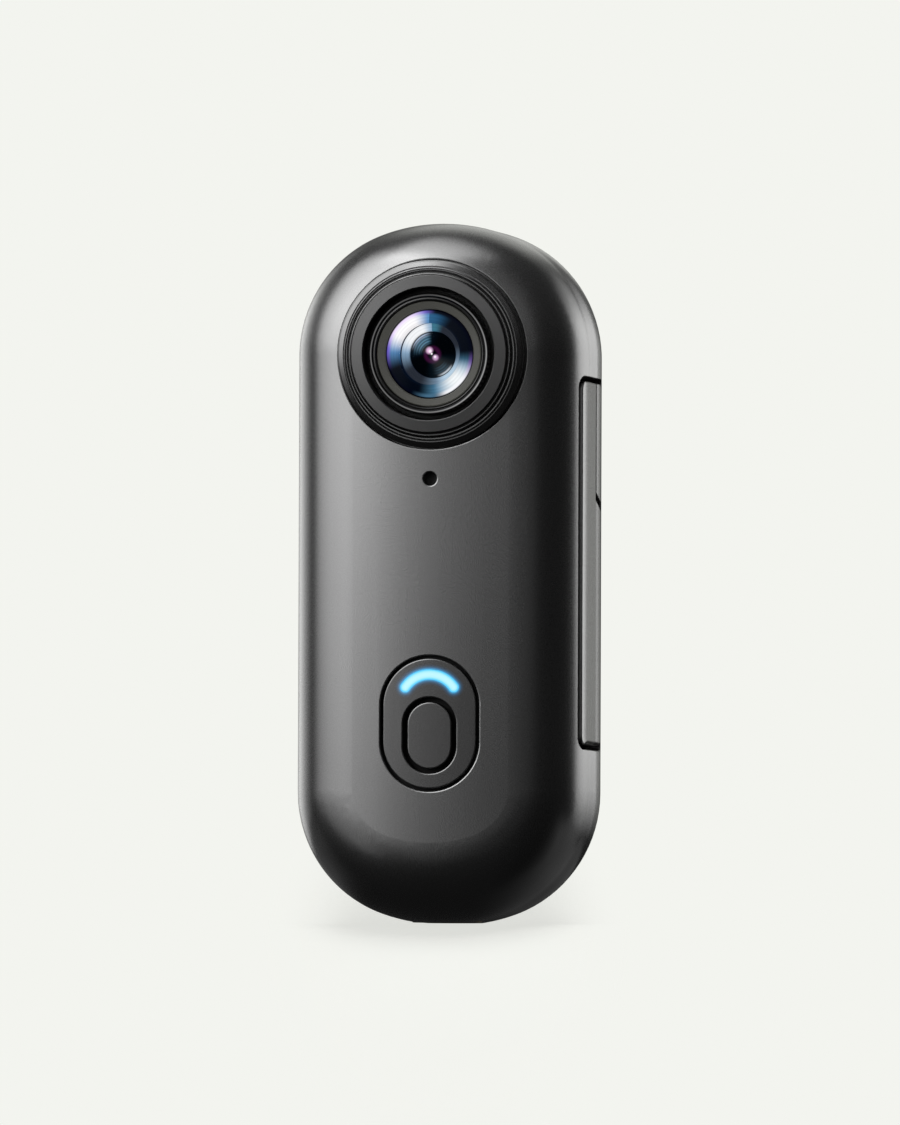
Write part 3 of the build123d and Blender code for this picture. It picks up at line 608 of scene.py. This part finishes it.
def dark_iris(s, radius, turn):
    """The second element: black, with painted reflections: blue arcs at upper left, faint ones at lower
    right, and a pupil.
    """
    colour = (0.0, 0.0005, 0.001, 1)
    wave = s.ramp(s.math("SINE", s.product(radius, IRIS_RIPPLE)), -1.0, 1.0, 0.35, 1.0)
    arcs = [
        (0.9, 1.2, 1.6, 1.9, 8.8, 10.4, 11.2, 11.95, (0.08, 0.2, 0.3)),
        (1.66, 1.8, 1.92, 2.04, 9.3, 10.5, 11.0, 11.95, (0.4, 0.5, 0.66)),
        (1.15, 1.3, 1.7, 1.9, 15.8, 16.6, 17.0, 18.0, (0.02, 0.05, 0.075)),
        (1.75, 1.85, 1.96, 2.03, 15.8, 16.5, 16.9, 17.7, (0.5, 0.56, 0.62)),
    ]
    # painted reflections: the blue arcs stand for lights mirrored in the element
    for inner, inner_full, outer_full, outer, start, full, until, end, tint in arcs:
        where = s.product(s.band(radius, inner, inner_full, outer_full, outer), wave)
        share = s.band(turn, clock(start), clock(full), clock(until), clock(end))
        colour = s.mix(s.product(where, share), colour, (*tint, 1))
    colour = s.mix(s.band(radius, *PUPIL_RING), colour, (0.035, 0.004, 0.03, 1))
    # painted highlights on the pupil: two pink glints with a dark middle, and a white point in each
    spots = [
        (-0.27, 0.36, 0.42, (0.8, 0.5, 0.75)),
        (0.28, -0.27, 0.36, (0.6, 0.35, 0.6)),
        (-0.2, 0.3, 0.2, (1.0, 0.92, 1.0)),
        (0.0, 0.02, 0.16, (0.0, 0.0, 0.0)),
        (-0.06, 0.06, 0.12, (1.0, 1.0, 1.0)),
        (0.24, -0.2, 0.16, (1.0, 0.9, 1.0)),
    ]
    for across, up, size, tint in spots:
        colour = s.mix(s.spot(across, up, size), colour, (*tint, 1))
    return colour


def barrel_material():
    """Black inside, with a painted highlight: a fine bright line on the turned edge at the front."""
    material, s, shader = solid("barrel_metal", (0.02, 0.02, 0.02), rough=0.3, metallic=0.8)
    radius, turn = s.polar()
    line = s.levels(turn, [(clock(hour), level) for hour, level in RIM_LINE])
    # painted highlight: the edge line glows by itself, brighter where the lights would catch it
    shine(s, shader, s.mix(s.band(radius, *BARREL_EDGE), grey(0.0), line))
    return material


def glowing(name, colour, glow, **more):
    """A material that also shows by itself. On parts that lie in deep shade the glow is painted light."""
    material, s, shader = solid(name, colour, **more)
    shine(s, shader, (*glow, 1))
    return material


def striped(name, colour, lines, scale, share, rough):
    """A board or film with fine lines of another colour."""
    material, s, shader = solid(name, colour, rough)
    bricks = s.node("ShaderNodeTexBrick")
    s.join(s.place(), bricks.inputs["Vector"])
    bricks.inputs["Scale"].default_value = scale
    bricks.inputs["Mortar Size"].default_value = share
    over(s, shader, bricks.outputs["Fac"], lines)
    return material


def glass(name, tint):
    material, _, shader = solid(name, tint, rough=0.02, bump=0.0)
    shader.inputs["Transmission Weight"].default_value = 1.0
    return material


def card_material():
    """A memory card: black, with gilt contacts at its inner end."""
    material, s, shader = solid("card", (0.02, 0.02, 0.022), rough=0.4)
    x, _, z = s.parts(s.place())
    row = s.math("GREATER_THAN", s.math("FRACT", s.product(z, 900.0)), 0.3)
    over(s, shader, s.product(row, s.math("LESS_THAN", x, -0.0035)), (0.7, 0.5, 0.2))
    return material


def mesh_material():
    material, s, shader = solid("woven_mesh", (0.03, 0.03, 0.03), rough=0.5, metallic=0.6)
    checks = s.node("ShaderNodeTexChecker")
    s.join(s.place(), checks.inputs["Vector"])
    checks.inputs["Scale"].default_value = 9000.0
    over(s, shader, checks.outputs["Fac"], (0.002, 0.002, 0.002))
    return material


def dress():
    """Gives every piece its material. The turned band and the band of painted shade are explained at
    shell_material.
    """
    # the second band of each shell material is painted shade on the flank
    paint(shell_material("satin_shell", turned=(-0.0055, -0.0005, 0.0, 0.005, 0.27),
                         painted_shade=(0.0036, 0.0049, 0.0056, 0.0066, 1.0)), "front_shell", "rear_cover")
    paint(shell_material("satin_door", turned=(0.001, 0.002, 0.0026, 0.0036, 0.14),
                         painted_shade=(0.0034, 0.0045, 0.0056, 0.0066, 0.6)), "side_door", "door_release")
    paint(panel_material(), "button_panel", "record_button")
    paint(light_material(), "light_guide")
    paint(surface("bezel_metal", (0.11, 0.11, 0.11), rough=0.24, metallic=0.85), "lens_bezel")
    paint(surface("trim_metal", (0.066, 0.066, 0.066), rough=0.35, metallic=0.7, grain=20000.0, bump=0.01),
          "lens_trim_ring")
    paint(barrel_material(), "lens_barrel")
    # painted light: the olive ring glows a little so that its tone stays even all round
    paint(glowing("olive_ring", (0.03, 0.03, 0.027), (0.044, 0.044, 0.039), rough=0.5, specular=0.2),
          "lens_retaining_ring")
    paint(front_glass(), "front_lens")
    paint(optic("pale_ring", pale_ring, rough=0.5, specular=0.0)[0], "lens_spacer")
    paint(optic("dark_iris", dark_iris, rough=0.5, specular=0.0)[0], "second_lens")
    paint(glass("element_glass", (0.8, 0.9, 0.95)), "third_lens", "rear_lens")
    paint(glass("filter_glass", (0.35, 0.8, 0.85)), "ir_filter")
    paint(surface("blackened_metal", (0.012, 0.012, 0.012), rough=0.5, metallic=0.5), "aperture_stop")
    paint(surface("bright_steel", (0.55, 0.54, 0.52), rough=0.3, metallic=1.0),
          "board_screws", "bolt_spring", "release_spring", "hinge_pin", "card_socket", "usb_socket",
          "shield_can", "record_switch")
    paint(surface("dark_steel", (0.14, 0.14, 0.145), rough=0.35, metallic=0.9), "cover_screws", "rear_plate")
    paint(surface("dark_brass", (0.1, 0.075, 0.035), rough=0.4, metallic=0.9), "tripod_insert")
    paint(surface("soft_seal", (0.012, 0.012, 0.012), rough=0.75, specular=0.3),
          "button_seal", "cover_seal", "door_gasket", "lens_o_ring", "mic_boot")
    paint(surface("inner_plastic", (0.02, 0.02, 0.021), rough=0.55),
          "inner_frame", "latch_bolt", "lens_holder", "port_bay", "speaker", "switch_plunger")
    paint(striped("circuit_board", (0.008, 0.06, 0.03), lines=(0.03, 0.16, 0.07), scale=900.0, share=0.012,
                  rough=0.4), "front_board", "main_board", "sensor_board")
    paint(striped("amber_film", (0.35, 0.15, 0.03), lines=(0.5, 0.26, 0.08), scale=1500.0, share=0.02,
                  rough=0.35), "antenna", "button_flex", "sensor_flex")
    paint(surface("moulded_chip", (0.018, 0.018, 0.02), rough=0.5), "image_sensor", "processor", "microphone")
    paint(surface("cell_foil", (0.3, 0.32, 0.35), rough=0.35, metallic=0.6, mottle=0.1), "battery")
    paint(surface("soft_aluminium", (0.6, 0.6, 0.62), rough=0.4, metallic=1.0), "heat_spreader")
    paint(glowing("led_body", (0.8, 0.8, 0.6), (0.3, 0.5, 0.6), rough=0.4), "status_leds")
    paint(card_material(), "memory_card")
    paint(mesh_material(), "mic_mesh")


def lights():
    """Five softboxes that only show mirrored in the object, and an overhead one that lights and shades."""
    softbox("key", -56, 25, distance=0.3, width=0.488, height=0.8, radiance=5.7,
            across=[(0.0, 0.0), (0.12, 0.5), (0.39, 0.87), (0.7, 1.0), (0.78, 0.97), (0.87, 0.6), (1.0, 0.0)],
            up=[(0.0, 0.08), (0.12, 0.1), (0.22, 0.12), (0.28, 0.17), (0.32, 0.34), (0.36, 0.66), (0.42, 0.9),
                (0.5, 1.0), (0.76, 0.85), (0.875, 0.5), (0.88, 0.0)])
    softbox("fill", 8, 25, distance=0.3, width=0.54, height=0.8, radiance=4.4,
            across=[(0.0, 0.0), (0.066, 0.3), (0.153, 0.56), (0.224, 0.46), (0.311, 0.34), (0.392, 0.24),
                    (0.471, 0.16), (0.558, 0.11), (0.67, 0.08), (0.82, 0.07), (1.0, 0.02)],
            up=[(0.0, 0.07), (0.1, 0.08), (0.2, 0.09), (0.28, 0.1), (0.315, 0.15), (0.35, 0.53), (0.4, 0.92),
                (0.5, 1.04), (0.575, 1.0), (0.875, 0.3), (0.88, 0.0)])
    softbox("top", -40, 82, distance=0.3, width=0.2, height=0.22, radiance=3.5,
            across=[(0.0, 0.9), (0.4, 1.0), (0.8, 1.0), (1.0, 0.4)],
            up=[(0.0, 1.0), (0.5, 0.9), (0.75, 0.5), (1.0, 0.0)])
    softbox("rim_left", -128, 10, distance=0.5, width=0.4, height=0.5, radiance=1.6,
            across=[(0.0, 1.0), (0.5, 0.9), (1.0, 0.2)],
            up=[(0.0, 0.5), (0.25, 1.0), (0.5, 1.0), (0.72, 0.4), (1.0, 0.0)])
    softbox("rim_right", 136, 12, distance=0.5, width=0.26, height=0.5, radiance=2.3,
            up=[(0.0, 0.3), (0.3, 1.0), (0.55, 1.0), (0.75, 0.4), (1.0, 0.0)])
    overhead = softbox("overhead", 13, 72, distance=0.5, width=0.32, height=0.32, radiance=3.6)
    overhead.visible_diffuse = True
    overhead.visible_glossy = False


camera()
world()
floor()
lights()
dress()

bpy.context.scene.view_settings.view_transform = "Standard"
